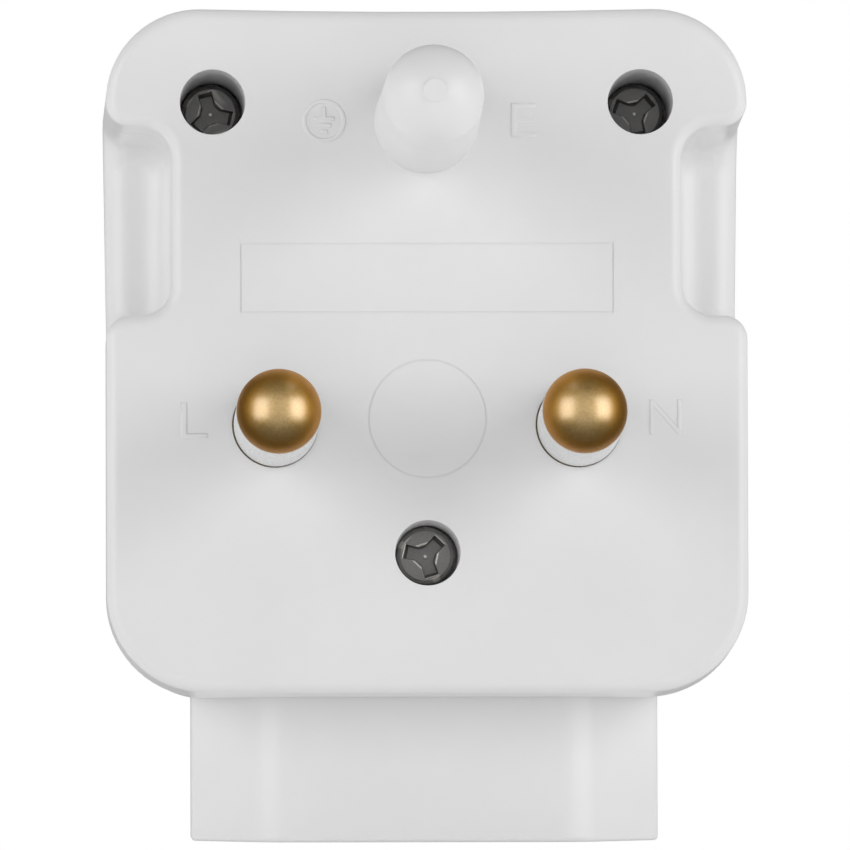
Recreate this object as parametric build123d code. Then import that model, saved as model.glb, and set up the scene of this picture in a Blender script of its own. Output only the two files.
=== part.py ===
from build123d import *
import os
from math import cos, radians, tan

# Switched double adapter: a plug with two round current pins and a moulded earth pin on its
# back, a two-pin outlet in its front, a second one in a block that hangs below, and a rocker.
# X runs to the right as the plug face is seen, Y from the plug face into the room, Z up.
# The origin lies on the plug face, midway between the two current pins.

# Body, in the plane of the plug face
body_width = 53.7
body_top = 35.2
body_bottom = -22.4
top_corner_r = 7.8
bottom_corner_r = 8.3
top_edge_dip = 0.45
wall = 1.8

# Body, in depth
face_wall = 2.0
cover_depth = 7.3
cover_edge_r = 1.0
parting_chamfer = 0.15
body_depth = 30.0
front_edge_r = 4.0
front_top_growth = 0.2
front_narrowing = 0.9
front_bottom_rise = 1.2
lip_height = 1.4
lip_wall = 0.8
lip_clearance = 0.1

# Finger grips in the two sides
grip_top = 25.1
grip_bottom = 9.2
grip_inset = 5.5
grip_depth = 21.0
grip_lobe_r = 2.0
grip_inner_r = 2.7
grip_floor_r = 2.4

# Round current pins
pin_spacing = 25.4
pin_d = 7.06
pin_length = 18.6
pin_neck_d = 5.6
pin_sleeve_end = 15.0
sleeve_root_d = 6.7
sleeve_root_end = 0.25
pin_hole_clearance = 0.08
pin_hole_drift = -0.05
pin_collar_d = 9.2
pin_collar = 1.5
rivet_d = 3.0
rivet_head_d = 5.2
rivet_head = 0.9

# Earth pin, moulded with the cover
earth_pin_z = 25.5
earth_pin_length = 28.6
earth_pin_root_d = 8.8
earth_pin_tip_d = 8.3
earth_pin_core_d = 3.6
earth_pin_core_end = 20.0
gate_mark_d = 1.9
gate_mark = 0.12

# Cover screws and their wells
screw_from_side = 8.93
screw_from_top = 8.1
screw_from_bottom = 11.65
well_d = 5.5
well_seat_d = 5.2
well_wall = 1.3
well_floor = 1.5
top_seat_y = 13.2
bottom_seat_y = 6.5
screw_head_d = 4.95
screw_head = 2.0
screw_head_r = 0.6
screw_d = 2.9
screw_grip = 9.5
screw_hole_d = 3.6
recess_arm = 1.8
recess_arm_width = 1.2
recess_core_d = 1.7
recess_depth = 0.9

# Turn of each screw, and how far it lies off the middle of its well
left_screw_turn = 106.0
left_screw_drift = (0.0, 0.0)
right_screw_turn = 40.0
right_screw_drift = (-0.1, 0.03)
bottom_screw_turn = 47.5
bottom_screw_drift = (-0.1, 0.05)

# Screw bosses of the housing
boss_d = 6.0
boss_gap = 0.1

# Marks moulded into the plug face
panel_width = 31.3
panel_height = 5.9
panel_z = 12.3
dial_d = 10.0
dial_z = 0.5
groove = 0.14
groove_depth = 0.06

# Flat two-pin plug that the outlets take, and its pins
plug_width = 35.3
plug_thickness = 13.7
plug_flat = 26.1
plug_clearance = 0.3
plug_pin_spacing = 19.0
entry_hole_d = 5.0
outlet_floor = 2.0
front_outlet_z = 8.5
front_outlet_depth = 8.0
front_cup_wall = 1.5
outlet_lead = 0.4

# Outlet block below the body
block_wall = 1.7
block_drop = 12.2
block_slope = 4.5
block_bevel = 6.6
block_ridge_r = 4.4
block_side_r = 1.2
block_rim_r = 0.35
bottom_outlet_depth = 10.6

# Contact clips and their pockets
clip_sheet = 0.6
clip_width = 4.0
clip_base = 5.2
clip_throat = 3.5
clip_length = 12.5
clip_bend_reach = 2.5
clip_throat_reach = 9.4
pocket_wall = 1.0
pocket_gap = 0.2

# Conductor strips
strip = 0.8
strip_width = 5.0
strip_gap = 0.1
strip_lug_r = 4.0
strip_clearance = 0.3
spine_width = 3.5
riser_step = 1.5
riser_width = 4.5
feed_width = 4.0
crossing_width = 3.0

# Rocker switch
switch_z = 24.2
bezel_width = 21.0
bezel_height = 12.0
bezel = 1.0
bezel_r = 1.2
switch_width = 18.6
switch_height = 9.8
switch_bottom_y = 17.5
switch_wall = 1.0
switch_floor = 1.5
cutout_clearance = 0.1
rocker_pivot_y = 28.5
rocker_throw = 12.0
rocker_gap = 0.2
rocker_crown = 2.3
rocker_belly = 1.2
rocker_edge_r = 0.4
axle_d = 2.4
axle_length = 0.7
axle_clearance = 0.05
axle_end_gap = 0.1
plunger_d = 2.0
plunger_tip_d = 2.4
plunger_reach = 6.05
plunger_bore_clearance = 0.08
plunger_bore_end = 1.0
post_d = 3.8
post_reach = 4.2
spring_wire = 0.28
spring_turns = 4
spring_end_gap = 0.05
lever_pivot_y = 20.5
lever_length = 7.0
lever_sheet = 0.6
lever_width = 4.0
lever_rise = 14.0
lever_throw = 8.0
lever_gap = 0.06
lever_stop_gap = 0.1
lever_stop_width = 1.6
contact_x = 6.2
button_d = 2.4
button = 0.5
blade = 0.8
blade_width = 4.0
blade_end_y = 9.0

# How far a cut runs past a surface, and how near a place counts as the same
overshoot = 1.0
near = 0.01

half_width = body_width / 2
pin_x = pin_spacing / 2
plug_pin_x = plug_pin_spacing / 2
block_centre_y = cover_depth + block_wall + plug_thickness / 2 + plug_clearance
strip_y = face_wall + pin_collar
strip_top_y = strip_y + strip
clip_half = clip_base / 2
screw_x = half_width - screw_from_side
block_bottom = body_bottom - block_drop
bottom_floor_z = block_bottom + bottom_outlet_depth
inner_bottom = body_bottom + front_bottom_rise + wall
mid_wall = face_wall / 2


def plane_at(y):
    """Plane parallel to the plug face at depth y, seen from the pins."""
    return Plane(origin=(0, y, 0), x_dir=(1, 0, 0), z_dir=(0, -1, 0))


def slab(sketch, y_low, y_high):
    """Solid from depth y_low to y_high with a sketch drawn in X and Z."""
    return extrude(plane_at(y_high) * sketch, amount=y_high - y_low)


def disc(x, z, diameter, y_low, y_high):
    return slab(Pos(x, z) * Circle(diameter / 2), y_low, y_high)


def block(x_low, x_high, y_low, y_high, z_low, z_high):
    """Box between two corners."""
    centre = Pos((x_low + x_high) / 2, (y_low + y_high) / 2, (z_low + z_high) / 2)
    return centre * Box(x_high - x_low, y_high - y_low, z_high - z_low)


def rectangle(x_low, x_high, z_low, z_high):
    centre = Pos((x_low + x_high) / 2, (z_low + z_high) / 2)
    return centre * Rectangle(x_high - x_low, z_high - z_low)


def body_outline(growth=0.0, narrowing=0.0, rise=0.0):
    """Outline of the body with its four corners, its top edge dipping a little."""
    top_half = half_width + growth
    bottom_half = half_width - narrowing
    bottom = body_bottom + rise
    top_left = (-top_half, body_top)
    top_right = (top_half, body_top)
    top = ThreePointArc(top_left, (0, body_top - top_edge_dip), top_right)
    rest = Polyline(top_right, (bottom_half, bottom), (-bottom_half, bottom), top_left)
    face = make_face([top] + list(rest.edges()))
    upper = face.vertices().group_by(Axis.Y)[-1]
    face = fillet(upper, top_corner_r)
    lower = face.vertices().filter_by(lambda v: abs(v.Y - bottom) < near)
    return fillet(lower, bottom_corner_r)


def front_outline():
    """Outline at the front, a little wider at the top and drawn in at the bottom."""
    return body_outline(front_top_growth, front_narrowing, front_bottom_rise)


def grip_outline(growth=0.0):
    """Both side pockets as a pair of rectangles with round inner corners."""
    inner = half_width - grip_inset - growth
    outer = half_width + growth + grip_inset
    right = rectangle(inner, outer, grip_bottom - growth, grip_top + growth)
    corners = right.vertices().group_by(Axis.X)[0]
    right = fillet(corners, grip_inner_r + growth)
    return right + mirror(right, about=Plane.YZ)


def grip_cut():
    """Both side pockets with the flares that round the outer corners into lobes."""
    lobe_x = half_width - grip_lobe_r
    outer = half_width + grip_inset
    upper = rectangle(lobe_x, outer, grip_top, grip_top + grip_lobe_r)
    upper -= Pos(lobe_x, grip_top + grip_lobe_r) * Circle(grip_lobe_r)
    lower = rectangle(lobe_x, outer, grip_bottom - grip_lobe_r, grip_bottom)
    lower -= Pos(lobe_x, grip_bottom - grip_lobe_r) * Circle(grip_lobe_r)
    flares = upper + lower
    return grip_outline() + flares + mirror(flares, about=Plane.YZ)


def plug_face_outline():
    """Body outline less the grips."""
    return body_outline() - grip_cut()


def plug_outline(growth=0.0):
    """Flat octagon of a two-pin plug, its long side along local X."""
    grown = growth * 2
    width = plug_width + grown
    thickness = plug_thickness + grown
    side_flat = plug_flat + grown * tan(radians(22.5))
    cut = (width - side_flat) / 2
    return chamfer(Rectangle(width, thickness).vertices(), cut)


def screw_wells():
    """Centre and seat depth of each screw's well."""
    top_z = body_top - screw_from_top
    bottom_z = body_bottom + screw_from_bottom
    return {
        "left": (-screw_x, top_z, top_seat_y),
        "right": (screw_x, top_z, top_seat_y),
        "bottom": (0, bottom_z, bottom_seat_y),
    }


def screw_well(x, z, seat):
    """Well of a screw, drawn in a little towards its seat."""
    frame = Plane(origin=(x, seat / 2, z), z_dir=(0, -1, 0))
    return frame * Cone(well_seat_d / 2, well_d / 2, seat)


def screw_place(name):
    """Centre and seat depth of a screw, which lies a little off the middle of its well."""
    drifts = {"left": left_screw_drift, "right": right_screw_drift, "bottom": bottom_screw_drift}
    x, z, seat = screw_wells()[name]
    drift_x, drift_z = drifts[name]
    return x + drift_x, z + drift_z, seat


def earth_pin():
    """Drafted round pin with a domed end and the mark that the gate left on it."""
    root_r = earth_pin_root_d / 2
    tip_r = earth_pin_tip_d / 2
    straight = earth_pin_length - tip_r
    profile = make_face(
        [
            Line((0, -face_wall), (root_r, -face_wall)),
            Line((root_r, -face_wall), (root_r, 0)),
            Line((root_r, 0), (tip_r, straight)),
            RadiusArc((tip_r, straight), (0, earth_pin_length), -tip_r),
            Line((0, earth_pin_length), (0, -face_wall)),
        ]
    )
    out = Plane(origin=(0, 0, earth_pin_z), x_dir=(1, 0, 0), z_dir=(0, 0, -1))
    pin = revolve(out * profile, Axis((0, 0, earth_pin_z), (0, 1, 0)))
    mark = disc(0, earth_pin_z, gate_mark_d, -earth_pin_length - gate_mark, -straight)
    core = disc(0, earth_pin_z, earth_pin_core_d, -earth_pin_core_end, face_wall)
    return pin + mark - core


def face_grooves():
    """Bare panel and round dial, each edged by a fine groove."""
    inner_panel = Rectangle(panel_width - 2 * groove, panel_height - 2 * groove)
    panel = Pos(0, panel_z) * (Rectangle(panel_width, panel_height) - inner_panel)
    dial = Pos(0, dial_z) * (Circle(dial_d / 2) - Circle(dial_d / 2 - groove))
    return slab(panel, 0, groove_depth) + slab(dial, 0, groove_depth)


def make_back_cover():
    outline = plug_face_outline()
    cover = slab(outline, 0, cover_depth)
    front_edges = cover.edges().filter_by(lambda e: abs(e.center().Y) < near)
    cover = fillet(front_edges, cover_edge_r)
    back_edges = cover.edges().filter_by(lambda e: abs(e.center().Y - cover_depth) < near)
    cover = chamfer(back_edges, parting_chamfer)
    cover -= slab(offset(outline, -wall), face_wall, cover_depth)
    cover += earth_pin()
    for x, z, seat in screw_wells().values():
        cover += disc(x, z, well_d + 2 * well_wall, mid_wall, seat + well_floor)
        cover -= screw_well(x, z, seat)
        cover -= disc(x, z, screw_hole_d, 0, seat + well_floor)
    for x in (-pin_x, pin_x):
        cover -= disc(x + pin_hole_drift, 0, pin_d + 2 * pin_hole_clearance, -overshoot, face_wall)
    cover -= disc(0, earth_pin_z, earth_pin_core_d, -earth_pin_core_end, face_wall)
    return cover - face_grooves()


def locating_lip():
    """Rim on the housing that stands inside the cover and grows out of the housing's wall."""
    outline = plug_face_outline()
    inner = offset(outline, -wall - lip_clearance - lip_wall)
    free = offset(outline, -wall - lip_clearance) - inner
    rooted = offset(outline, -wall + lip_clearance) - inner
    root_depth = cover_depth + lip_height
    return slab(free, cover_depth - lip_height, cover_depth) + slab(rooted, cover_depth, root_depth)


def block_section():
    """Octagon with broad round ridges along its two wide faces."""
    grown = 2 * (plug_clearance + block_wall)
    section = Rectangle(plug_width + grown, plug_thickness + grown)
    section = chamfer(section.vertices(), block_bevel)
    ridges = section.vertices().group_by(Axis.Y)
    section = fillet(ridges[0] + ridges[-1], block_ridge_r)
    at_side = section.vertices().group_by(Axis.X)
    return fillet(at_side[0] + at_side[-1], block_side_r)


def outlet_block():
    """Octagonal block below the body, its open end cut on a slope."""
    section = block_section()
    bottom = Plane(origin=(0, block_centre_y, block_bottom))
    solid = extrude(bottom * section, amount=inner_bottom - block_bottom)
    rise = tan(radians(block_slope))
    reach = 2 * plug_thickness
    wedge = Plane.YZ * Polygon(
        (cover_depth, block_bottom),
        (cover_depth + reach, block_bottom + reach * rise),
        (cover_depth + reach, block_bottom - reach),
        (cover_depth, block_bottom - reach),
        align=None,
    )
    solid -= extrude(wedge, amount=body_width, both=True)
    rim = solid.faces().sort_by(Axis.Z)[0]
    return fillet(rim.edges(), block_rim_r)


def bottom_pocket(x):
    """Three-sided pocket for a clip of the bottom outlet, open towards the cover."""
    side = clip_width / 2 + pocket_gap
    reach = clip_half + pocket_gap
    floor_top = bottom_floor_z + outlet_floor
    top = clip_top_z() - strip_gap
    outer = block(
        x - side - pocket_wall, x + side + pocket_wall,
        block_centre_y - reach, block_centre_y + reach + pocket_wall,
        floor_top, top,
    )
    inner = block(
        x - side, x + side,
        block_centre_y - reach, block_centre_y + reach,
        floor_top, top,
    )
    return outer - inner


def front_pocket(x):
    """Square tube for a clip of the front outlet, from the outlet floor to the strips."""
    side = clip_width / 2 + pocket_gap
    reach = clip_half + pocket_gap
    grown = side + pocket_wall
    tall = reach + pocket_wall
    outer = rectangle(x - grown, x + grown, front_outlet_z - tall, front_outlet_z + tall)
    inner = rectangle(x - side, x + side, front_outlet_z - reach, front_outlet_z + reach)
    back = strip_top_y + strip_gap
    return slab(outer - inner, back, body_depth - front_outlet_depth - outlet_floor)


def housing_grips():
    """The side pockets down to the housing's flanges, with round edges at their floor."""
    pockets = slab(grip_outline(), 0, grip_depth)
    floor_edges = pockets.edges().filter_by(lambda e: abs(e.center().Y - grip_depth) < near)
    return fillet(floor_edges, grip_floor_r)


def at_grip_mouth(edge):
    """Whether an edge of the housing lies where a side pocket opens in the side."""
    place = edge.center()
    at_side = abs(place.X) > half_width - front_narrowing
    in_height = grip_bottom - near < place.Z < grip_top + near
    return at_side and in_height and cover_depth + near < place.Y < grip_depth + near


def make_front_housing():
    start = plane_at(cover_depth)
    end = plane_at(body_depth)
    housing = loft([start * body_outline(), end * front_outline()])
    front_edges = housing.edges().filter_by(lambda e: abs(e.center().Y - body_depth) < near)
    housing = fillet(front_edges, front_edge_r)
    housing -= housing_grips()
    housing = fillet(housing.edges().filter_by(at_grip_mouth), grip_lobe_r)

    inner_start = start * offset(body_outline(), -wall)
    inner_end = plane_at(body_depth - face_wall) * offset(front_outline(), -wall)
    hollow = loft([inner_start, inner_end])
    hollow -= slab(grip_outline(wall), 0, grip_depth + wall)
    housing -= hollow

    housing += outlet_block()
    recess = plug_outline(plug_clearance)
    bottom_cut = Plane(origin=(0, block_centre_y, block_bottom - overshoot)) * recess
    housing -= extrude(bottom_cut, amount=bottom_floor_z - block_bottom + overshoot)
    above_floor = Plane(origin=(0, block_centre_y, bottom_floor_z + outlet_floor)) * recess
    housing -= extrude(above_floor, amount=inner_bottom - bottom_floor_z - outlet_floor)

    floor_y = body_depth - front_outlet_depth
    cup = Pos(0, front_outlet_z) * plug_outline(plug_clearance + front_cup_wall)
    housing += slab(cup, floor_y - outlet_floor, body_depth - mid_wall)
    housing -= slab(Pos(0, front_outlet_z) * recess, floor_y, body_depth + overshoot)
    mouth = housing.edges().filter_by(lambda e: abs(e.center().Y - body_depth) < near)
    mouth = mouth.filter_by(lambda e: abs(e.center().X) < plug_width / 2 + overshoot)
    mouth = mouth.filter_by(lambda e: abs(e.center().Z - front_outlet_z) < plug_thickness)
    housing = chamfer(mouth, outlet_lead)

    for x in (-plug_pin_x, plug_pin_x):
        housing += bottom_pocket(x)
        housing += front_pocket(x)
        housing -= disc(x, front_outlet_z, entry_hole_d, floor_y - outlet_floor, floor_y)
        hole = Pos(x, block_centre_y, bottom_floor_z + outlet_floor / 2)
        housing -= hole * Cylinder(entry_hole_d / 2, outlet_floor)

    half_cut = switch_width / 2 + cutout_clearance
    tall_cut = switch_height / 2 + cutout_clearance
    opening = rectangle(-half_cut, half_cut, switch_z - tall_cut, switch_z + tall_cut)
    housing -= slab(opening, body_depth - face_wall - overshoot, body_depth + overshoot)

    housing += locating_lip()
    for name, (x, z, seat) in screw_wells().items():
        tube_d = well_d + 2 * well_wall + 2 * lip_clearance
        boss_start = seat + well_floor + boss_gap
        housing -= disc(x, z, tube_d, 0, boss_start)
        housing += disc(x, z, boss_d, boss_start, body_depth - mid_wall)
        shank_x, shank_z, _ = screw_place(name)
        bore_end = seat + well_floor + screw_grip
        housing -= disc(shank_x, shank_z, screw_d, boss_start, bore_end)
    return housing


def make_pin(x):
    """Turned pin: domed tip, neck under the sleeve, collar behind the plug face and rivet end."""
    r = pin_d / 2
    neck_r = pin_neck_d / 2
    dome_start = pin_length - r
    head_top = strip_top_y + rivet_head
    profile = make_face(
        [
            RadiusArc((r, dome_start), (0, pin_length), -r),
            Line((r, dome_start), (r, pin_sleeve_end)),
            Line((r, pin_sleeve_end), (neck_r, pin_sleeve_end)),
            Line((neck_r, pin_sleeve_end), (neck_r, -face_wall)),
            Line((neck_r, -face_wall), (pin_collar_d / 2, -face_wall)),
            Line((pin_collar_d / 2, -face_wall), (pin_collar_d / 2, -strip_y)),
            Line((pin_collar_d / 2, -strip_y), (rivet_d / 2, -strip_y)),
            Line((rivet_d / 2, -strip_y), (rivet_d / 2, -strip_top_y)),
            Line((rivet_d / 2, -strip_top_y), (rivet_head_d / 2, -strip_top_y)),
            RadiusArc((rivet_head_d / 2, -strip_top_y), (0, -head_top), rivet_head_d),
            Line((0, -head_top), (0, pin_length)),
        ]
    )
    out = Plane(origin=(x, 0, 0), x_dir=(1, 0, 0), z_dir=(0, 0, -1))
    return revolve(out * profile, Axis((x, 0, 0), (0, 1, 0)))


def make_sleeve(x):
    """Insulating tube round the pin's neck, slimmer where it passes through the plug face."""
    bore = Circle(pin_neck_d / 2)
    ring = Pos(x, 0) * (Circle(pin_d / 2) - bore)
    root = Pos(x, 0) * (Circle(sleeve_root_d / 2) - bore)
    return slab(ring, -pin_sleeve_end, -sleeve_root_end) + slab(root, -sleeve_root_end, face_wall)


def make_cover_screw(place, turn):
    """Pan head screw with a three-armed recess, left at some turn when it was driven home."""
    x, z, seat = place
    head = disc(x, z, screw_head_d, seat - screw_head, seat)
    outer_edge = head.edges().sort_by(Axis.Y)[0]
    head = fillet(outer_edge, screw_head_r)
    shank = disc(x, z, screw_d, seat, seat + well_floor + screw_grip - boss_gap)
    tip = shank.edges().sort_by(Axis.Y)[-1]
    screw = head + chamfer(tip, screw_d / 3)
    arm = Pos(recess_arm / 2, 0) * Rectangle(recess_arm, recess_arm_width)
    recess = Circle(recess_core_d / 2)
    for step in (0, 120, 240):
        recess += Rot(0, 0, turn + step) * arm
    floor = seat - screw_head + recess_depth
    screw -= slab(Pos(x, z) * recess, seat - screw_head - overshoot, floor)
    return screw


def clip_profile():
    """Spring clip seen from the side: flat base, two arms that close in and flare open."""
    base = clip_half - clip_sheet / 2
    throat = (clip_throat + clip_sheet) / 2
    mouth = base
    right = [
        (base, clip_sheet / 2),
        (base, clip_bend_reach),
        (throat, clip_throat_reach),
        (mouth, clip_length),
    ]
    left = [(-x, y) for x, y in reversed(right)]
    path = FilletPolyline(*left, *right, radius=clip_sheet)
    return trace(path, line_width=clip_sheet)


def make_clip(frame):
    """Clip on a plane whose local Y points out of the outlet, along the plug's pin."""
    return extrude(frame * clip_profile(), amount=clip_width / 2, both=True)


def front_clip(x):
    frame = Plane(origin=(x, strip_top_y, front_outlet_z), x_dir=(0, 0, -1), z_dir=(1, 0, 0))
    return make_clip(frame)


def clip_top_z():
    """Height at which a clip of the bottom outlet meets its strip."""
    return bottom_floor_z + outlet_floor + clip_length + strip_gap


def bottom_clip(x):
    frame = Plane(origin=(x, block_centre_y, clip_top_z()), x_dir=(0, -1, 0), z_dir=(1, 0, 0))
    return make_clip(frame)


def bottom_leg(x_low, x_high):
    """Leg that a strip turns into the body to lie on a clip of the bottom outlet."""
    z = clip_top_z()
    return block(x_low, x_high, strip_y, block_centre_y + clip_half, z, z + strip)


def terminal_tab(blade_x):
    """Tab turned up from a strip and soldered to a blade of the switch."""
    side = blade_x - blade / 2
    low = switch_z - blade_width / 2
    high = switch_z + blade_width / 2
    return block(side - strip, side, strip_y, blade_end_y + strip_width, low, high)


def make_neutral_strip():
    low = plug_pin_x - strip_width / 2
    high = plug_pin_x + strip_width / 2
    spine = rectangle(low, high, clip_top_z(), front_outlet_z + clip_half)
    lug = Pos(pin_x, 0) * Circle(strip_lug_r)
    sheet = spine + lug - Pos(pin_x, 0) * Circle(rivet_d / 2)
    return slab(sheet, strip_y, strip_top_y) + bottom_leg(low, high)


def make_line_outlet_strip():
    """Feeds both line contacts from the switch, passing the line pin on its inner side."""
    spine_high = -strip_lug_r - strip_clearance
    spine_low = spine_high - spine_width
    riser_low = spine_low + riser_step
    clip_low = -plug_pin_x - clip_width / 2
    top = front_outlet_z + clip_half
    spine = rectangle(spine_low, spine_high, clip_top_z(), top)
    contact = rectangle(clip_low, spine_high, front_outlet_z - clip_half, top)
    foot_low = -plug_pin_x - strip_width / 2
    foot = rectangle(foot_low, spine_high, clip_top_z(), -pin_collar_d / 2 - strip)
    riser = rectangle(riser_low, riser_low + riser_width, front_outlet_z, switch_z)
    low = switch_z - blade_width / 2
    high = switch_z + blade_width / 2
    shoulder = rectangle(riser_low, -blade / 2, low, high)
    sheet = spine + contact + foot + riser + shoulder
    return slab(sheet, strip_y, strip_top_y) + bottom_leg(foot_low, spine_high) + terminal_tab(0)


def make_line_feed_strip():
    """Runs from the line pin up the left side and over to the outer blade of the switch."""
    left = -pin_x - strip_lug_r + strip_clearance
    right = left + feed_width
    low = switch_z - blade_width / 2
    high = switch_z + blade_width / 2
    turn = low - crossing_width
    blade_side = -contact_x - blade / 2
    riser = rectangle(left, right, 0, low)
    crossing = rectangle(left, blade_side, turn, low)
    shoulder = rectangle(blade_side - crossing_width, blade_side, turn, high)
    lug = Pos(-pin_x, 0) * Circle(strip_lug_r)
    sheet = riser + crossing + shoulder + lug - Pos(-pin_x, 0) * Circle(rivet_d / 2)
    return slab(sheet, strip_y, strip_top_y) + terminal_tab(-contact_x)


def switch_rectangle(width, height):
    return Pos(0, switch_z) * Rectangle(width, height)


def make_switch_frame():
    """Bezel and open well of the switch, with slots for its blades."""
    rim = Pos(0, switch_z) * RectangleRounded(bezel_width, bezel_height, bezel_r)
    frame = slab(rim, body_depth, body_depth + bezel)
    front_y = body_depth + bezel
    front_edges = frame.edges().filter_by(lambda e: abs(e.center().Y - front_y) < near)
    frame = fillet(front_edges, bezel / 2)
    frame += slab(switch_rectangle(switch_width, switch_height), switch_bottom_y, body_depth)
    inner_width = switch_width - 2 * switch_wall
    inner_height = switch_height - 2 * switch_wall
    floor_y = switch_bottom_y + switch_floor
    frame -= slab(switch_rectangle(inner_width, inner_height), floor_y, front_y + overshoot)
    low = switch_z - blade_width / 2
    high = switch_z + blade_width / 2
    side = lever_stop_width / 2
    stop = rectangle(contact_x - side, contact_x + side, low, high)
    frame += slab(stop, switch_bottom_y, contact_top_y() - lever_stop_gap)
    for x in (0, -contact_x):
        slot = rectangle(x - blade / 2, x + blade / 2, low, high)
        frame -= slab(slot, switch_bottom_y, floor_y)
    bearing = Pos(0, rocker_pivot_y, switch_z)
    bearing_length = inner_height + 2 * axle_length + 2 * axle_end_gap
    return frame - bearing * Cylinder(axle_d / 2 + axle_clearance, bearing_length)


def contact_top_y():
    """Depth at which the lever's arm comes to rest on either side."""
    return lever_pivot_y + contact_x * tan(radians(lever_rise - lever_throw)) - 2 * lever_gap


def rocker_half_length():
    return switch_width / 2 - switch_wall - rocker_gap


def at_rest(piece, pivot_y, angle):
    """Turns a piece of the switch about its own pivot, which runs along Z."""
    pivot = Axis((0, pivot_y, 0), (0, 0, 1))
    return piece.rotate(pivot, angle)


def make_rocker():
    """Paddle with a hollow crown, two axle stubs and the post that guides the plunger."""
    half = rocker_half_length()
    height = switch_height - 2 * switch_wall - 2 * rocker_gap
    crown_end = rocker_crown + half * tan(radians(rocker_throw))
    shape = Polygon(
        (0, rocker_crown),
        (half, crown_end),
        (half, -rocker_belly),
        (-half, -rocker_belly),
        (-half, crown_end),
        align=None,
    )
    profile = shape & Circle(half)
    base = Plane(origin=(0, rocker_pivot_y, switch_z))
    paddle = extrude(base * profile, amount=height / 2, both=True)
    crown_y = rocker_pivot_y + rocker_crown
    paddle = fillet(paddle.edges().filter_by(lambda e: e.center().Y > crown_y), rocker_edge_r)
    axle_span = switch_height - 2 * switch_wall + 2 * axle_length
    paddle += Pos(0, rocker_pivot_y, switch_z) * Cylinder(axle_d / 2, axle_span)
    paddle += disc(0, switch_z, post_d, rocker_pivot_y - post_reach, rocker_pivot_y)
    bore_d = plunger_d + 2 * plunger_bore_clearance
    bore_end = rocker_pivot_y + plunger_bore_end
    paddle -= disc(0, switch_z, bore_d, rocker_pivot_y - post_reach, bore_end)
    return at_rest(paddle, rocker_pivot_y, rocker_throw)


def make_plunger():
    """Round-nosed pin that rides on the lever."""
    nose_y = rocker_pivot_y - plunger_reach
    plunger = disc(0, switch_z, plunger_d, nose_y, rocker_pivot_y - rocker_belly)
    plunger += disc(0, switch_z, plunger_tip_d, nose_y, rocker_pivot_y - post_reach - rocker_gap)
    plunger += Pos(0, nose_y, switch_z) * Sphere(plunger_tip_d / 2)
    return at_rest(plunger, rocker_pivot_y, rocker_throw)


def make_spring():
    """Coil between the end of the bore and the plunger."""
    length = rocker_belly + plunger_bore_end - spring_wire - 2 * spring_end_gap
    coil_r = plunger_d / 2 - spring_wire / 2
    start_y = rocker_pivot_y - rocker_belly + spring_wire / 2 + spring_end_gap
    start = Pos(0, start_y, switch_z) * Rot(-90, 0, 0)
    path = Helix(pitch=length / spring_turns, height=length, radius=coil_r)
    section = Plane(origin=path @ 0, z_dir=path % 0) * Circle(spring_wire / 2)
    coil = start * sweep(section, path=path)
    return at_rest(coil, rocker_pivot_y, rocker_throw)


def make_lever():
    """Shallow vee of sheet that tips over its middle."""
    run = lever_length * cos(radians(lever_rise))
    thick = lever_sheet / cos(radians(lever_rise))
    low = lever_pivot_y
    end = low + run * tan(radians(lever_rise))
    profile = Polygon(
        (0, low),
        (run, end),
        (run, end + thick),
        (0, low + thick),
        (-run, end + thick),
        (-run, end),
        align=None,
    )
    base = Plane(origin=(0, 0, switch_z))
    lever = extrude(base * profile, amount=lever_width / 2, both=True)
    return at_rest(lever, lever_pivot_y, -lever_throw)


def make_pivot_terminal():
    top = lever_pivot_y - lever_gap
    return terminal_blade(0, top)


def terminal_blade(x, top):
    low = switch_z - blade_width / 2
    high = switch_z + blade_width / 2
    return block(x - blade / 2, x + blade / 2, blade_end_y, top, low, high)


def make_line_terminal():
    """Blade with the fixed contact button on its head."""
    button_low = contact_top_y() - button
    stem = terminal_blade(-contact_x, button_low)
    return stem + disc(-contact_x, switch_z, button_d, button_low, contact_top_y())


def main():
    parts = {
        "back_cover": make_back_cover(),
        "front_housing": make_front_housing(),
        "line_pin": make_pin(-pin_x),
        "neutral_pin": make_pin(pin_x),
        "line_pin_sleeve": make_sleeve(-pin_x),
        "neutral_pin_sleeve": make_sleeve(pin_x),
        "cover_screw_left": make_cover_screw(screw_place("left"), left_screw_turn),
        "cover_screw_right": make_cover_screw(screw_place("right"), right_screw_turn),
        "cover_screw_bottom": make_cover_screw(screw_place("bottom"), bottom_screw_turn),
        "front_line_contact": front_clip(-plug_pin_x),
        "front_neutral_contact": front_clip(plug_pin_x),
        "bottom_line_contact": bottom_clip(-plug_pin_x),
        "bottom_neutral_contact": bottom_clip(plug_pin_x),
        "neutral_strip": make_neutral_strip(),
        "line_outlet_strip": make_line_outlet_strip(),
        "line_feed_strip": make_line_feed_strip(),
        "switch_frame": make_switch_frame(),
        "rocker": make_rocker(),
        "rocker_plunger": make_plunger(),
        "rocker_spring": make_spring(),
        "switch_lever": make_lever(),
        "switch_pivot_terminal": make_pivot_terminal(),
        "switch_line_terminal": make_line_terminal(),
    }
    os.makedirs("parts", exist_ok=True)
    for name, shape in parts.items():
        export_step(shape, "parts/" + name + ".step")


main()
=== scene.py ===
from math import cos, pi, radians, sin

import bmesh
import bpy
from mathutils import Matrix, Vector


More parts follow.
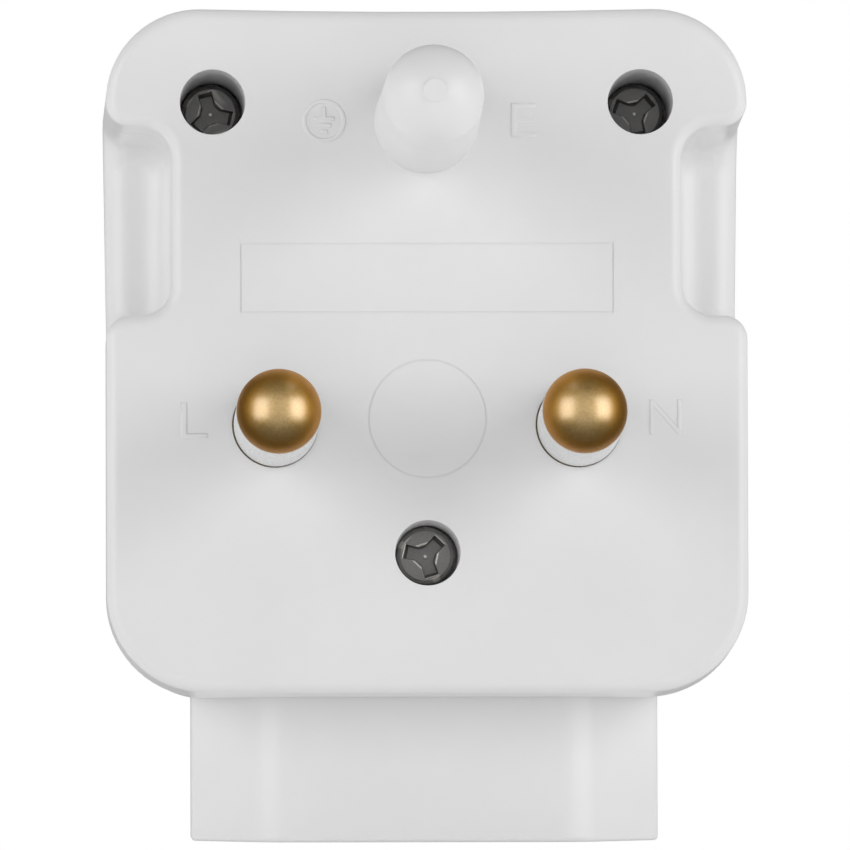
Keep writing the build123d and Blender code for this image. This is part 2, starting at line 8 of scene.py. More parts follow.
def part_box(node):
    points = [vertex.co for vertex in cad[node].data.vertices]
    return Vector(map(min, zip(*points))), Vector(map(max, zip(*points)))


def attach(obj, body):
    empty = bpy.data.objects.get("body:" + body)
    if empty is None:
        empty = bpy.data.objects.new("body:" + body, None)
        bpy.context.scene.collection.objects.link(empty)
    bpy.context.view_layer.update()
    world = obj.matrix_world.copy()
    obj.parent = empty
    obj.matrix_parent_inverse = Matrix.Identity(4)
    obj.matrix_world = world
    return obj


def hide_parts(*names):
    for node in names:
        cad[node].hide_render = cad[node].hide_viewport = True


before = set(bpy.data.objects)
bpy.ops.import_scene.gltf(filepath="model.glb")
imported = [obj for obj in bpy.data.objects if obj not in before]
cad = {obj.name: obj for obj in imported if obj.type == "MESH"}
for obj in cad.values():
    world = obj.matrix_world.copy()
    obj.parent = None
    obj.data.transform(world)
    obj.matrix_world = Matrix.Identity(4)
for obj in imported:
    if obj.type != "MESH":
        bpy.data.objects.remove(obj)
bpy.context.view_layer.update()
MM = 0.001


# Back cover with the earth pin: one white moulding in satin plastic. The tool was spark eroded,
# which leaves a very fine grain on every face, and the tone varies a little from place to place.

COVER_WHITE = (0.823, 0.823, 0.821, 1.0)
COVER_SHADE = (0.805, 0.806, 0.804, 1.0)
COVER_ROUGHNESS = 0.34
PLASTIC_GLOSS_SWING = 0.05
GRAIN_PER_METRE = 6500.0
GRAIN_DEPTH = 0.006 * MM
GRAIN_DETAIL = 2.0
GRAIN_RANGE = (0.3, 0.7)
CLOUDS_PER_METRE = 90.0
CLOUD_DETAIL = 4.0
CLOUD_RANGE = (0.38, 0.62)


def add_node(tree, kind, inputs=None, **settings):
    """Adds a node; each input, by name or number, gets a value or a link from another socket."""
    made = tree.nodes.new(kind)
    for name, value in settings.items():
        setattr(made, name, value)
    for name, value in (inputs or {}).items():
        if isinstance(value, bpy.types.NodeSocket):
            tree.links.new(value, made.inputs[name])
        else:
            made.inputs[name].default_value = value
    return made


def new_group(name, inputs, outputs):
    """Starts a node group and gives its tree, its input node and its output node."""
    tree = bpy.data.node_groups.new(name, "ShaderNodeTree")
    for label, kind, value in inputs:
        socket = tree.interface.new_socket(name=label, in_out="INPUT", socket_type=kind)
        socket.default_value = value
    for label, kind in outputs:
        tree.interface.new_socket(name=label, in_out="OUTPUT", socket_type=kind)
    return tree, tree.nodes.new("NodeGroupInput"), tree.nodes.new("NodeGroupOutput")


def spread(tree, value, span, out_low=0.0, out_high=1.0):
    """Stretches a value from a span of low and high to out_low..out_high, and no further."""
    limits = {"From Min": span[0], "From Max": span[1], "To Min": out_low, "To Max": out_high}
    return add_node(tree, "ShaderNodeMapRange", {"Value": value, **limits}).outputs["Result"]


def blend_colour(tree, factor, first, second):
    """Mixes two colours, which a Mix node takes on inputs 6 and 7 and gives on output 2."""
    return add_node(tree, "ShaderNodeMix", {0: factor, 6: first, 7: second}, data_type="RGBA").outputs[2]


def new_material(name, **constants):
    """A material with one Principled shader; the constants go straight on its sockets."""
    material = bpy.data.materials.new(name)
    material.use_nodes = True
    shader = material.node_tree.nodes["Principled BSDF"]
    for label, value in constants.items():
        shader.inputs[label.replace("_", " ")].default_value = value
    return material, material.node_tree, shader


grain, grain_in, grain_out = new_group(
    "moulded grain",
    [("Vector", "NodeSocketVector", (0, 0, 0)), ("Scale", "NodeSocketFloat", GRAIN_PER_METRE)],
    [("Height", "NodeSocketFloat"), ("Tone", "NodeSocketFloat")],
)
grain_fine = add_node(
    grain, "ShaderNodeTexNoise",
    {"Vector": grain_in.outputs["Vector"], "Scale": grain_in.outputs["Scale"], "Detail": GRAIN_DETAIL},
)
grain_clouds = add_node(
    grain, "ShaderNodeTexNoise",
    {"Vector": grain_in.outputs["Vector"], "Scale": CLOUDS_PER_METRE, "Detail": CLOUD_DETAIL},
)
grain.links.new(grain_fine.outputs["Fac"], grain_out.inputs["Height"])
grain.links.new(spread(grain, grain_clouds.outputs["Fac"], CLOUD_RANGE), grain_out.inputs["Tone"])


def grain_skin(tree, **values):
    """The grain on a piece's own coordinates, with any values that differ from the cover's."""
    where = add_node(tree, "ShaderNodeTexCoord").outputs["Object"]
    return add_node(tree, "ShaderNodeGroup", {"Vector": where, **values}, node_tree=grain)


def roughen(tree, shader, height, roughness, swing, depth):
    """Lets the gloss and the surface follow the height of the grain."""
    gloss = spread(tree, height, GRAIN_RANGE, roughness - swing, roughness + swing)
    bump = add_node(tree, "ShaderNodeBump", {"Height": height, "Distance": depth})
    tree.links.new(gloss, shader.inputs["Roughness"])
    tree.links.new(bump.outputs["Normal"], shader.inputs["Normal"])


def moulded_plastic(name, light, shade, roughness, grain_depth):
    """Plastic with the tool's fine grain and broad, faint changes of tone."""
    material, tree, shader = new_material(name)
    skin = grain_skin(tree)
    tree.links.new(blend_colour(tree, skin.outputs["Tone"], shade, light), shader.inputs["Base Color"])
    roughen(tree, shader, skin.outputs["Height"], roughness, PLASTIC_GLOSS_SWING, grain_depth)
    return material


def finish_node(name, material):
    """Gives a CAD node its finish."""
    slots = cad[name].data.materials
    slots.clear()
    slots.append(material)


cover_plastic = moulded_plastic("cover plastic", COVER_WHITE, COVER_SHADE, COVER_ROUGHNESS, GRAIN_DEPTH)
finish_node("back_cover", cover_plastic)


# Marks on the plug face: L and N beside their pins, E and the earth sign beside the earth pin.
# They are cut into the tool, so they stand a hair proud of the face in the same plastic. Their
# places on the face and their sizes are in millimetres.

MARK_HEIGHT = 0.08 * MM
MARK_EDGE = 0.075 * MM
MARK_SINK = 0.08 * MM
LETTER_BOLDNESS = -0.08 * MM
LETTERS = {
    "mark_L": ("L", (-19.52, 0.38), (2.25, 2.95)),
    "mark_N": ("N", (19.95, 0.62), (2.7, 2.95)),
    "mark_E": ("E", (8.13, 25.56), (2.15, 2.85)),
}
EARTH_SIGN_PLACE = (-8.6, 25.5)
EARTH_SIGN_SIZE = (3.65, 3.65)
EARTH_RING_R = 1.8 * MM
EARTH_STROKE = 0.20 * MM
EARTH_BARS = ((0.18 * MM, 1.7 * MM), (-0.38 * MM, 1.1 * MM), (-0.94 * MM, 0.5 * MM))
EARTH_STEM_TOP = 1.15 * MM
RING_CORNERS = 48


def flat_curve(name):
    """Starts a drawing in the XY plane."""
    curve = bpy.data.curves.new(name, "CURVE")
    curve.dimensions = "2D"
    return curve


def closed_spline(curve, points):
    """Adds a closed outline to a flat curve."""
    spline = curve.splines.new("POLY")
    spline.points.add(len(points) - 1)
    for point, (x, y) in zip(spline.points, points):
        point.co = (x, y, 0, 1)
    spline.use_cyclic_u = True


def ring_points(radius):
    """The corners of a ring about the origin."""
    turns = [2 * pi * corner / RING_CORNERS for corner in range(RING_CORNERS)]
    return [(radius * cos(turn), radius * sin(turn)) for turn in turns]


def mark_mesh(curve, size):
    """Turns a flat curve into a thin raised shape of some width and height about the origin."""
    curve.fill_mode = "BOTH"
    curve.extrude = (MARK_HEIGHT + MARK_SINK) / 2 - MARK_EDGE
    curve.bevel_depth = MARK_EDGE
    curve.bevel_resolution = 1
    drawn = bpy.data.objects.new("drawn_mark", curve)
    bpy.context.scene.collection.objects.link(drawn)
    bpy.context.view_layer.update()
    depsgraph = bpy.context.evaluated_depsgraph_get()
    mesh = bpy.data.meshes.new_from_object(drawn.evaluated_get(depsgraph))
    bpy.data.objects.remove(drawn)
    corners = [vertex.co for vertex in mesh.vertices]
    low = Vector((min(corner.x for corner in corners), min(corner.y for corner in corners), 0))
    high = Vector((max(corner.x for corner in corners), max(corner.y for corner in corners), 0))
    wide, tall = (high - low).xy
    mesh.transform(Matrix.Translation(-(low + high) / 2))
    mesh.transform(Matrix.Diagonal((size[0] * MM / wide, size[1] * MM / tall, 1, 1)))
    mesh.transform(Matrix.Translation((0, 0, (MARK_HEIGHT - MARK_SINK) / 2)))
    return mesh


def lay_mark(mesh, name, stand, material, body):
    """Lays a mark on a surface, which is the XY plane of the matrix it stands in."""
    mesh.name = name
    mesh.transform(stand)
    mesh.materials.append(material)
    mark = bpy.data.objects.new(name, mesh)
    bpy.context.scene.collection.objects.link(mark)
    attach(mark, body)


def on_plug_face(place):
    """Where a mark stands on the plug face, which looks towards -Y."""
    return Matrix.Translation((place[0] * MM, 0, place[1] * MM)) @ Matrix.Rotation(radians(90), 4, "X")


for name, (letter, place, size) in LETTERS.items():
    text = bpy.data.curves.new(name, "FONT")
    text.body = letter
    text.size = size[1] * MM
    text.offset = LETTER_BOLDNESS
    lay_mark(mark_mesh(text, size), name, on_plug_face(place), cover_plastic, "adapter")

sign = flat_curve("mark_earth")
closed_spline(sign, ring_points(EARTH_RING_R))
closed_spline(sign, ring_points(EARTH_RING_R - EARTH_STROKE))
half = EARTH_STROKE / 2
top_bar, top_width = EARTH_BARS[0]
closed_spline(sign, [
    (-top_width / 2, top_bar - half), (top_width / 2, top_bar - half),
    (top_width / 2, top_bar + half), (half, top_bar + half),
    (half, EARTH_STEM_TOP), (-half, EARTH_STEM_TOP),
    (-half, top_bar + half), (-top_width / 2, top_bar + half),
])
for height, width in EARTH_BARS[1:]:
    closed_spline(sign, [
        (-width / 2, height - half), (width / 2, height - half),
        (width / 2, height + half), (-width / 2, height + half),
    ])
lay_mark(
    mark_mesh(sign, EARTH_SIGN_SIZE), "mark_earth", on_plug_face(EARTH_SIGN_PLACE),
    cover_plastic, "adapter",
)


# Front housing: the deeper half of the case, with the outlet block below. It comes from the
# same plastic as the cover, moulded in another tool, and the three screws pull the two together.

HOUSING_WHITE = (0.820, 0.820, 0.818, 1.0)
HOUSING_SHADE = (0.803, 0.804, 0.802, 1.0)
HOUSING_ROUGHNESS = 0.33

finish_node(
    "front_housing",
    moulded_plastic("housing plastic", HOUSING_WHITE, HOUSING_SHADE, HOUSING_ROUGHNESS, GRAIN_DEPTH),
)


# Current pins: turned brass, tumbled after turning, so the dome is matt with a fine sparkle. Their colour is
# painted a darker brown where they are seen at a slant, a painted shade, and their clear coat fades there.
# The pins are riveted behind the face.

BRASS_LIGHT = (0.77, 0.52, 0.13, 1.0)
BRASS_DARK = (0.69, 0.39, 0.07, 1.0)
# Painted shade: the darker brown that the pins are painted where they are seen at a slant.
BRASS_PAINTED_SLANT_SHADE = (0.60, 0.29, 0.045, 1.0)
BRASS_ROUGHNESS = 0.51
BRASS_GRAIN_DEPTH = 0.008 * MM
BRASS_FILM_IOR = 2.45
BRASS_FILM_ROUGHNESS = 0.31
TUMBLE_PER_METRE = 5200.0
SPECKLE_RANGE = (0.35, 0.65)
METAL_GLOSS_SWING = 0.06
PAINTED_SHADE_SLANT = (0.08, 0.45)
FILM_SLANT = (0.14, 0.36)
FILM_AT_SLANT = 0.05
PIN_MERGE = 0.001 * MM
PIN_SHARP_ANGLE = 25.0


def tumbled_metal(name, light, dark, roughness, grain_depth, painted_slant_shade=None, **constants):
    """Finely speckled metal. Given a slant colour, it is painted that darker brown at a slant as painted
    shade, and stays glossy where it faces the view.
    """
    material, tree, shader = new_material(name, Metallic=1.0, **constants)
    height = grain_skin(tree, Scale=TUMBLE_PER_METRE).outputs["Height"]
    colour = blend_colour(tree, spread(tree, height, SPECKLE_RANGE), dark, light)
    if painted_slant_shade:
        slant = add_node(tree, "ShaderNodeLayerWeight", {"Blend": 0.5}).outputs["Facing"]
        # Painted shade: the base colour turns darker brown where the surface is seen at a slant.
        colour = blend_colour(tree, spread(tree, slant, PAINTED_SHADE_SLANT), colour, painted_slant_shade)
        film = spread(tree, slant, FILM_SLANT, 1.0, FILM_AT_SLANT)
        tree.links.new(film, shader.inputs["Coat Weight"])
    tree.links.new(colour, shader.inputs["Base Color"])
    roughen(tree, shader, height, roughness, METAL_GLOSS_SWING, grain_depth)
    return material


def polished_mesh(node):
    """A merged copy of a CAD node's mesh, smooth up to its edges, for a surface that mirrors light."""
    shape = bmesh.new()
    shape.from_mesh(cad[node].data)
    bmesh.ops.remove_doubles(shape, verts=shape.verts, dist=PIN_MERGE)
    mesh = bpy.data.meshes.new(node + "_polished")
    shape.to_mesh(mesh)
    shape.free()
    old_normals = mesh.attributes.get("custom_normal")
    if old_normals:
        mesh.attributes.remove(old_normals)
    mesh.shade_smooth()
    mesh.set_sharp_from_angle(angle=radians(PIN_SHARP_ANGLE))
    return mesh


pin_brass = tumbled_metal(
    "pin brass", BRASS_LIGHT, BRASS_DARK, BRASS_ROUGHNESS, BRASS_GRAIN_DEPTH, BRASS_PAINTED_SLANT_SHADE,
    Coat_IOR=BRASS_FILM_IOR, Coat_Roughness=BRASS_FILM_ROUGHNESS,
)
for node in ("line_pin", "neutral_pin"):
    polished = polished_mesh(node)
    polished.materials.clear()
    polished.materials.append(pin_brass)
    pin = bpy.data.objects.new(node + "_polished", polished)
    bpy.context.scene.collection.objects.link(pin)
    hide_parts(node)
    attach(pin, "adapter")


# Pin sleeves: tubes of white nylon slipped over the necks of the pins before they are riveted.
# They are a little colder and glossier than the case.

SLEEVE_WHITE = (0.75, 0.753, 0.757, 1.0)
SLEEVE_SHADE = (0.69, 0.693, 0.697, 1.0)
SLEEVE_ROUGHNESS = 0.30

sleeve_plastic = moulded_plastic(
    "sleeve plastic", SLEEVE_WHITE, SLEEVE_SHADE, SLEEVE_ROUGHNESS, GRAIN_DEPTH / 2
)
finish_node("line_pin_sleeve", sleeve_plastic)
finish_node("neutral_pin_sleeve", sleeve_plastic)


# Cover screws: blackened steel with a three-armed recess. Each sits at the bottom of its well,
# turned as it was left, and the driver has rubbed the black off the edges of the recess.

SCREW_TURNS = {
    "cover_screw_left": 106.0,
    "cover_screw_right": 40.0,
    "cover_screw_bottom": 47.5,
}
SCREW_HEAD_R = 2.475 * MM
SCREW_FLAT_R = 0.84 * SCREW_HEAD_R
SCREW_CROWN_R = 0.94 * SCREW_HEAD_R
SCREW_HEAD = 2.0 * MM
SCREW_CROWN = 0.40 * MM
SCREW_CROWN_STEP = 0.3 * SCREW_CROWN
SCREW_SHANK_R = 1.45 * MM
SCREW_TIP_R = 0.5 * MM
SCREW_EDGE = 0.04 * MM
SCREW_STEPS = 72
SCREW_SHARP_ANGLE = 12.0
RECESS_ARM = 1.80 * MM
RECESS_ARM_WIDTH = 1.2 * MM
RECESS_CORE_R = 1.76 * MM
RECESS_DEPTH = 1.25 * MM
RECESS_TAPER = 0.84
PIP_R = 0.22 * MM
PIP_TOP_R = 0.6 * PIP_R
PIP_HEIGHT = 0.30 * MM
PIP_STEPS = 16
TURNED_MERGE = 0.0001 * MM
TURNED_FLAT_ANGLE = 1.0
WEAR_WIDTH = 0.17 * MM
WEAR_BETWEEN_ARMS = 1.0
WEAR_ARM_ENDS = 0.5
WEAR_ARM_SIDES = 0.2
BETWEEN_ARMS_R = 0.6 * RECESS_CORE_R
ARM_ENDS_R = 0.97 * RECESS_ARM
MOUTH_R = 0.82 * SCREW_HEAD_R
STEEL_DARK = (0.22, 0.218, 0.213, 1)
STEEL_LIGHT = (0.37, 0.366, 0.356, 1)
STEEL_WORN = (0.62, 0.60, 0.56, 1)
STEEL_WORN_POINTINESS = (0.53, 0.62)
STEEL_GRAIN_PER_METRE = 4000.0
STEEL_ROUGHNESS = 0.48
STEEL_GLOSS_SWING = 0.08
STEEL_GRAIN_DEPTH = 0.02 * MM
STEEL_OIL = 0.1
RUBBED_LIGHT = (0.95, 0.92, 0.87, 1)
RUBBED_DARK = (0.70, 0.67, 0.62, 1)
RUBBED_ROUGHNESS = 0.42
RUBBED_GRAIN_DEPTH = 0.01 * MM


def modified(piece, *settings):
    """Applies modifiers to a piece, each given as its type and its settings."""
    for kind, values in settings:
        modifier = piece.modifiers.new(kind.lower(), kind)
        for label, value in values.items():
            setattr(modifier, label, value)
    depsgraph = bpy.context.evaluated_depsgraph_get()
    finished = bpy.data.meshes.new_from_object(piece.evaluated_get(depsgraph))
    piece.modifiers.clear()
    piece.data = finished


def object_of(name, shape):
    """Makes an object from a bmesh, with flat faces joined and all of them pointing outwards."""
    bmesh.ops.remove_doubles(shape, verts=shape.verts, dist=TURNED_MERGE)
    bmesh.ops.dissolve_limit(
        shape, angle_limit=radians(TURNED_FLAT_ANGLE), verts=shape.verts, edges=shape.edges
    )
    bmesh.ops.recalc_face_normals(shape, faces=shape.faces)
    mesh = bpy.data.meshes.new(name)
    shape.to_mesh(mesh)
    shape.free()
    made = bpy.data.objects.new(name, mesh)
    bpy.context.scene.collection.objects.link(made)
    return made


def turned_piece(name, profile, steps):
    """Spins a profile of (radius, height) points about Z."""
    shape = bmesh.new()
    points = [shape.verts.new((radius, 0, height)) for radius, height in profile]
    edges = [shape.edges.new(pair) for pair in zip(points, points[1:])]
    bmesh.ops.spin(
        shape, geom=points + edges, axis=(0, 0, 1), cent=(0, 0, 0), angle=2 * pi, steps=steps, use_merge=True
    )
    return object_of(name, shape)


def recess_cutter(turn):
    """The outline of three arms that meet in a small triangle, drawn down and narrowed."""
    shape = bmesh.new()
    start = Matrix.Rotation(radians(turn - 90), 4, "Z")
    bmesh.ops.create_circle(shape, cap_ends=True, radius=RECESS_CORE_R, segments=3, matrix=start)
    bmesh.ops.bevel(
        shape, geom=shape.verts[:], offset=RECESS_ARM_WIDTH, offset_type="OFFSET", affect="VERTICES",
        segments=1, profile=0.5, material=-1,
    )
    for step in (0, 120, 240):
        way = Vector((cos(radians(turn + step)), sin(radians(turn + step)), 0))
        root = max(shape.edges, key=lambda edge: (edge.verts[0].co + edge.verts[1].co).dot(way))
        arm = bmesh.ops.extrude_edge_only(shape, edges=[root])["geom"]
        tip = [part for part in arm if isinstance(part, bmesh.types.BMVert)]
        bmesh.ops.translate(shape, vec=way * (RECESS_ARM - tip[0].co.dot(way)), verts=tip)
    bmesh.ops.dissolve_faces(shape, faces=shape.faces[:])
    high = shape.verts[:]
    floor = bmesh.ops.extrude_face_region(shape, geom=shape.faces[:])["geom"]
    low = [part for part in floor if isinstance(part, bmesh.types.BMVert)]
    for ends, size, side in ((high, 2 - RECESS_TAPER, 1), (low, RECESS_TAPER, -1)):
        bmesh.ops.scale(shape, vec=(size, size, 1), verts=ends)
        bmesh.ops.translate(shape, vec=(0, 0, side * RECESS_DEPTH), verts=ends)
    return object_of("recess_cutter", shape)


def wear_mouth(screw):
    """Marks how far the driver has worn each edge of the recess's mouth."""
    wear = screw.data.attributes.new("bevel_weight_edge", "FLOAT", "EDGE")
    for edge in screw.data.edges:
        first, second = (screw.data.vertices[index].co for index in edge.vertices)
        if max(abs(first.z), abs(second.z)) > SCREW_EDGE or max(first.xy.length, second.xy.length) > MOUTH_R:
            continue
        middle = (first + second).xy / 2
        if middle.length < BETWEEN_ARMS_R:
            wear.data[edge.index].value = WEAR_BETWEEN_ARMS
        elif middle.length > ARM_ENDS_R:
            wear.data[edge.index].value = WEAR_ARM_ENDS
        else:
            wear.data[edge.index].value = WEAR_ARM_SIDES


screw_steel, steel_tree, steel_shader = new_material("screw steel", Metallic=1.0, Coat_Weight=STEEL_OIL)
steel_height = grain_skin(steel_tree, Scale=STEEL_GRAIN_PER_METRE).outputs["Height"]
steel_edge = add_node(steel_tree, "ShaderNodeNewGeometry").outputs["Pointiness"]
steel_black = blend_colour(steel_tree, steel_height, STEEL_DARK, STEEL_LIGHT)
steel_worn = spread(steel_tree, steel_edge, STEEL_WORN_POINTINESS)
steel_tree.links.new(
    blend_colour(steel_tree, steel_worn, steel_black, STEEL_WORN), steel_shader.inputs["Base Color"]
)
roughen(steel_tree, steel_shader, steel_height, STEEL_ROUGHNESS, STEEL_GLOSS_SWING, STEEL_GRAIN_DEPTH)
rubbed_steel = tumbled_metal(
    "rubbed steel", RUBBED_LIGHT, RUBBED_DARK, RUBBED_ROUGHNESS, RUBBED_GRAIN_DEPTH
)

for node, turn in SCREW_TURNS.items():
    low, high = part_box(node)
    length = high[1] - low[1]
    screw = turned_piece(node + "_driven", [
        (0.0, 0.0),
        (SCREW_FLAT_R, 0.0),
        (SCREW_CROWN_R, -SCREW_CROWN_STEP),
        (SCREW_HEAD_R, -SCREW_CROWN),
        (SCREW_HEAD_R, -SCREW_HEAD + SCREW_EDGE),
        (SCREW_HEAD_R - SCREW_EDGE, -SCREW_HEAD),
        (SCREW_SHANK_R, -SCREW_HEAD),
        (SCREW_SHANK_R, -length + SCREW_SHANK_R - SCREW_TIP_R),
        (SCREW_TIP_R, -length),
        (0.0, -length),
    ], steps=SCREW_STEPS)
    screw.data.materials.append(screw_steel)
    screw.data.materials.append(rubbed_steel)
    cutter = recess_cutter(turn)
    pip = turned_piece("recess_pip", [
        (0.0, PIP_HEIGHT - RECESS_DEPTH), (PIP_TOP_R, PIP_HEIGHT - RECESS_DEPTH),
        (PIP_R, -RECESS_DEPTH - PIP_HEIGHT), (0.0, -RECESS_DEPTH - PIP_HEIGHT),
    ], steps=PIP_STEPS)
    for face in pip.data.polygons:
        face.material_index = 1
    modified(screw, ("BOOLEAN", {"object": cutter, "operation": "DIFFERENCE", "solver": "EXACT"}))
    wear_mouth(screw)
    modified(
        screw,
        ("BEVEL", {"width": WEAR_WIDTH, "segments": 2, "limit_method": "WEIGHT", "material": 1}),
        ("BOOLEAN", {"object": pip, "operation": "UNION", "solver": "EXACT"}),
    )
    for helper in (cutter, pip):
        bpy.data.objects.remove(helper)
    screw.data.shade_smooth()
    screw.data.set_sharp_from_angle(angle=radians(SCREW_SHARP_ANGLE))
    screw.data.transform(Matrix.Rotation(radians(90), 4, "X"))
    screw.data.transform(Matrix.Translation(((low[0] + high[0]) / 2, low[1], (low[2] + high[2]) / 2)))
    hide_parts(node)
    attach(screw, "adapter")


# Contacts and strips: rolled bronze and brass sheet, cut and folded, that wait inside the case.
# They keep the mill's bright, faintly speckled finish.

BRONZE_LIGHT = (0.74, 0.50, 0.28, 1)
BRONZE_DARK = (0.64, 0.41, 0.21, 1)
BRONZE_ROUGHNESS = 0.30
BRONZE_NODES = (
    "front_line_contact", "front_neutral_contact", "bottom_line_contact", "bottom_neutral_contact",
    "switch_lever",
)
STRIP_LIGHT = (0.82, 0.64, 0.34, 1)
STRIP_DARK = (0.74, 0.55, 0.27, 1)
STRIP_ROUGHNESS = 0.27
STRIP_NODES = (
    "neutral_strip", "line_outlet_strip", "line_feed_strip", "switch_pivot_terminal", "switch_line_terminal",
)
SHEET_GRAIN_DEPTH = 0.003 * MM

contact_bronze = tumbled_metal(
    "contact bronze", BRONZE_LIGHT, BRONZE_DARK, BRONZE_ROUGHNESS, SHEET_GRAIN_DEPTH
)
strip_brass = tumbled_metal("strip brass", STRIP_LIGHT, STRIP_DARK, STRIP_ROUGHNESS, SHEET_GRAIN_DEPTH)
for node in BRONZE_NODES:
    finish_node(node, contact_bronze)
for node in STRIP_NODES:
    finish_node(node, strip_brass)


# Rocker switch: a frame that snaps into the front, and a rocker in polished white plastic with
# its two marks printed in grey. The plunger is natural nylon, its spring drawn steel.

SWITCH_WHITE = (0.80, 0.80, 0.795, 1.0)
SWITCH_SHADE = (0.77, 0.77, 0.765, 1.0)
SWITCH_ROUGHNESS = 0.22
PRINT_GREY = (0.20, 0.20, 0.20, 1.0)
PRINT_SHADE = (0.17, 0.17, 0.17, 1.0)
PRINT_ROUGHNESS = 0.35
NYLON_LIGHT = (0.70, 0.69, 0.64, 1)
NYLON_SHADE = (0.66, 0.65, 0.60, 1)
NYLON_ROUGHNESS = 0.4
SPRING_LIGHT = (0.6, 0.6, 0.6, 1)
SPRING_DARK = (0.45, 0.45, 0.45, 1)
SPRING_ROUGHNESS = 0.25
SPRING_GRAIN_DEPTH = 0.002 * MM
POLISHED_GRAIN_DEPTH = GRAIN_DEPTH / 4
ROCKER_MARK_OUT = 0.60
ROCKER_MARK_TALL = 2.6
ROCKER_MARK_STROKE = 0.42

switch_plastic = moulded_plastic(
    "switch plastic", SWITCH_WHITE, SWITCH_SHADE, SWITCH_ROUGHNESS, POLISHED_GRAIN_DEPTH
)
finish_node("switch_frame", switch_plastic)
finish_node("rocker", switch_plastic)
finish_node(
    "rocker_plunger",
    moulded_plastic("plunger nylon", NYLON_LIGHT, NYLON_SHADE, NYLON_ROUGHNESS, GRAIN_DEPTH),
)
finish_node(
    "rocker_spring",
    tumbled_metal("spring steel", SPRING_LIGHT, SPRING_DARK, SPRING_ROUGHNESS, SPRING_GRAIN_DEPTH),
)

mark_print = moulded_plastic(
    "switch print", PRINT_GREY, PRINT_SHADE, PRINT_ROUGHNESS, POLISHED_GRAIN_DEPTH
)
on_mark = flat_curve("mark_on")
closed_spline(on_mark, [(-MM / 2, -MM), (MM / 2, -MM), (MM / 2, MM), (-MM / 2, MM)])
off_mark = flat_curve("mark_off")
closed_spline(off_mark, ring_points(ROCKER_MARK_TALL / 2 * MM))
closed_spline(off_mark, ring_points((ROCKER_MARK_TALL / 2 - ROCKER_MARK_STROKE) * MM))
rocker_low, rocker_high = (Vector(corner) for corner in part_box("rocker"))
rocker_middle = (rocker_low + rocker_high) / 2
rocker_half = (rocker_high.x - rocker_low.x) / 2
for name, curve, wide, side in (
    ("mark_on", on_mark, ROCKER_MARK_STROKE, 1),
    ("mark_off", off_mark, ROCKER_MARK_TALL, -1),
):
    out = rocker_middle.x + side * ROCKER_MARK_OUT * rocker_half
    above = Vector((out, rocker_high.y + MM, rocker_middle.z))
    spot, facing = cad["rocker"].ray_cast(above, (0, -1, 0))[1:3]
    across = Vector((0, 0, 1)).cross(facing)
    lean = Matrix((across, (0, 0, 1), facing)).transposed().to_4x4()
    lay_mark(
        mark_mesh(curve, (wide, ROCKER_MARK_TALL)), name, Matrix.Translation(spot) @ lean,
        mark_print, "rocker",
    )


# Studio: a lit white table that can't be seen from below, two soft boxes at the sides and a pale
# room. The camera stands a little left of the pins and well below them.

FLOOR_Z = -34.65 * MM
FLOOR_REACH = 2.0
FLOOR_WHITE = (0.8, 0.8, 0.8, 1)
FLOOR_GLOW = 0.25
FLOOR_SEEN_GLOW = 0.30
LAMP_DISTANCE = 0.75
LAMP_SIDE = 53.0
LAMP_RISE = 5.0
LAMP_SIZE = (0.60, 0.70)
LAMP_POWERS = {-1: 2.72, 1: 3.10}
ROOM_DEPTH_RANGE = (-0.9, 0.1)
ROOM_FRONT_FILL = 0.11
ROOM_BACK_FILL = 1.12
ROOM_HEIGHT_RANGE = (0.2, 0.9)
ROOM_ABOVE = 0.60
ROOM_REFLECTED_RANGE = (-0.6, -0.93)
ROOM_REFLECTED = 0.11
ROOM_REFLECTED_FRONT = 0.62
ROOM_SEEN = (1, 1, 1, 1)
CAMERA_PLACE = (-0.0449, -1.795, -0.1329)
CAMERA_TARGET = (-0.00021, 0.0, -0.00004)
CAMERA_ROLL = -0.17
CAMERA_LENS = 911.6
CAMERA_SENSOR = 36.0
CAMERA_REACH = (0.1, 10.0)

floor_shape = bmesh.new()
bmesh.ops.create_grid(floor_shape, x_segments=1, y_segments=1, size=FLOOR_REACH)
floor = object_of("studio_floor", floor_shape)
floor.data.transform(Matrix.Translation((0, 0, FLOOR_Z)))
floor.visible_glossy = False

floor_finish = bpy.data.materials.new("studio floor")
floor_finish.use_nodes = True
floor_tree = floor_finish.node_tree
floor_tree.nodes.clear()
floor_paint = add_node(floor_tree, "ShaderNodeBsdfDiffuse", {"Color": FLOOR_WHITE})
floor_seen = add_node(floor_tree, "ShaderNodeLightPath").outputs["Is Camera Ray"]
floor_strength = spread(floor_tree, floor_seen, (0.0, 1.0), FLOOR_GLOW, FLOOR_GLOW + FLOOR_SEEN_GLOW)
floor_glow = add_node(floor_tree, "ShaderNodeEmission", {"Strength": floor_strength})
floor_top = add_node(floor_tree, "ShaderNodeAddShader", {0: floor_paint.outputs[0], 1: floor_glow.outputs[0]})
floor_under = add_node(floor_tree, "ShaderNodeBsdfTransparent")
floor_side = add_node(floor_tree, "ShaderNodeNewGeometry").outputs["Backfacing"]
floor_both = add_node(
    floor_tree, "ShaderNodeMixShader", {0: floor_side, 1: floor_top.outputs[0], 2: floor_under.outputs[0]}
)
add_node(floor_tree, "ShaderNodeOutputMaterial", {"Surface": floor_both.outputs[0]})
floor.data.materials.append(floor_finish)

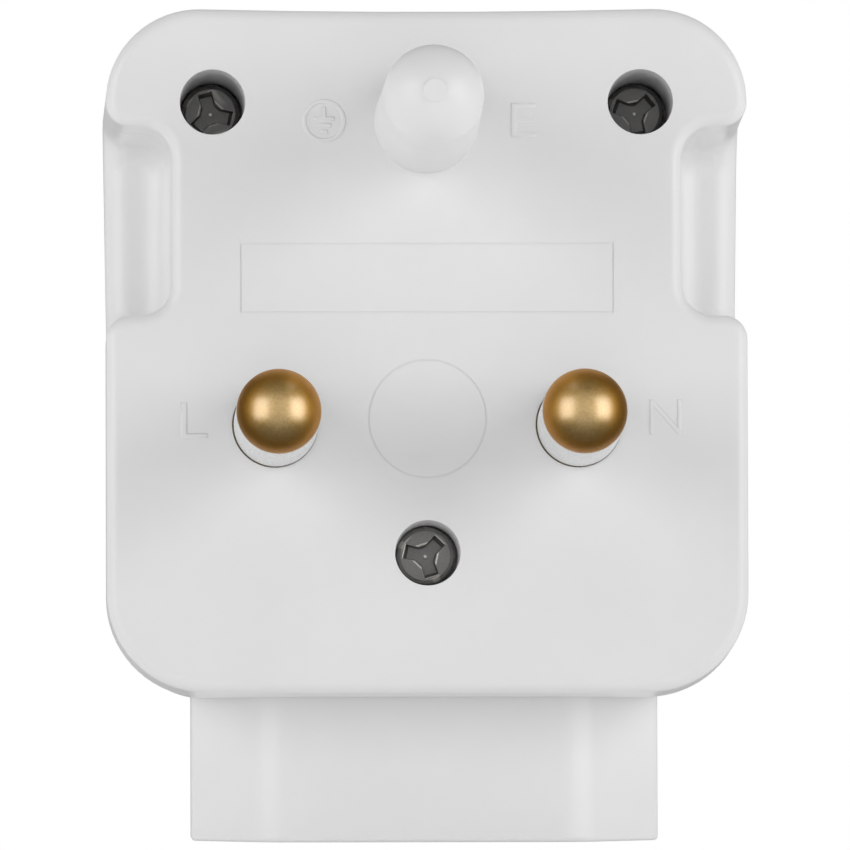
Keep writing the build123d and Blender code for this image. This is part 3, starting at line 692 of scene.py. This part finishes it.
for side, power in LAMP_POWERS.items():
    lamp = bpy.data.lights.new("soft box", "AREA")
    lamp.shape = "RECTANGLE"
    lamp.size, lamp.size_y = LAMP_SIZE
    lamp.energy = power
    lamp_object = bpy.data.objects.new("soft_box", lamp)
    bpy.context.scene.collection.objects.link(lamp_object)
    towards = Vector((
        side * sin(radians(LAMP_SIDE)) * cos(radians(LAMP_RISE)),
        -cos(radians(LAMP_SIDE)) * cos(radians(LAMP_RISE)),
        sin(radians(LAMP_RISE)),
    ))
    lamp_object.location = towards * LAMP_DISTANCE
    lamp_object.rotation_euler = towards.to_track_quat("Z", "Y").to_euler()
    lamp_object.visible_camera = False

room = bpy.data.worlds.new("studio")
bpy.context.scene.world = room
room.use_nodes = True
room_tree = room.node_tree
room_path = add_node(room_tree, "ShaderNodeLightPath")
room_where = add_node(room_tree, "ShaderNodeTexCoord").outputs["Generated"]
room_axes = add_node(room_tree, "ShaderNodeSeparateXYZ", {"Vector": room_where})
room_depth = spread(room_tree, room_axes.outputs["Y"], ROOM_DEPTH_RANGE, ROOM_FRONT_FILL, ROOM_BACK_FILL)
room_height = spread(room_tree, room_axes.outputs["Z"], ROOM_HEIGHT_RANGE, 1.0, ROOM_ABOVE)
room_fill = add_node(room_tree, "ShaderNodeMath", {0: room_depth, 1: room_height}, operation="MULTIPLY")
room_reflected = spread(
    room_tree, room_axes.outputs["Y"], ROOM_REFLECTED_RANGE, ROOM_REFLECTED, ROOM_REFLECTED_FRONT
)
room_lit = blend_colour(room_tree, room_path.outputs["Is Glossy Ray"], room_fill.outputs[0], room_reflected)
room_white = add_node(
    room_tree, "ShaderNodeMath",
    {0: room_path.outputs["Is Camera Ray"], 1: room_path.outputs["Is Transmission Ray"]}, operation="MAXIMUM",
)
room_tree.links.new(
    blend_colour(room_tree, room_white.outputs[0], room_lit, ROOM_SEEN),
    room_tree.nodes["Background"].inputs["Color"],
)

lens = bpy.data.cameras.new("camera")
lens.sensor_width = CAMERA_SENSOR
lens.lens = CAMERA_LENS
lens.clip_start, lens.clip_end = CAMERA_REACH
camera = bpy.data.objects.new("camera", lens)
bpy.context.scene.collection.objects.link(camera)
camera.location = CAMERA_PLACE
aim = (Vector(CAMERA_TARGET) - camera.location).to_track_quat("-Z", "Y")
camera.rotation_mode = "QUATERNION"
camera.rotation_quaternion = aim @ Matrix.Rotation(radians(CAMERA_ROLL), 3, "Z").to_quaternion()
bpy.context.scene.camera = camera
bpy.context.scene.view_settings.view_transform = "Standard"
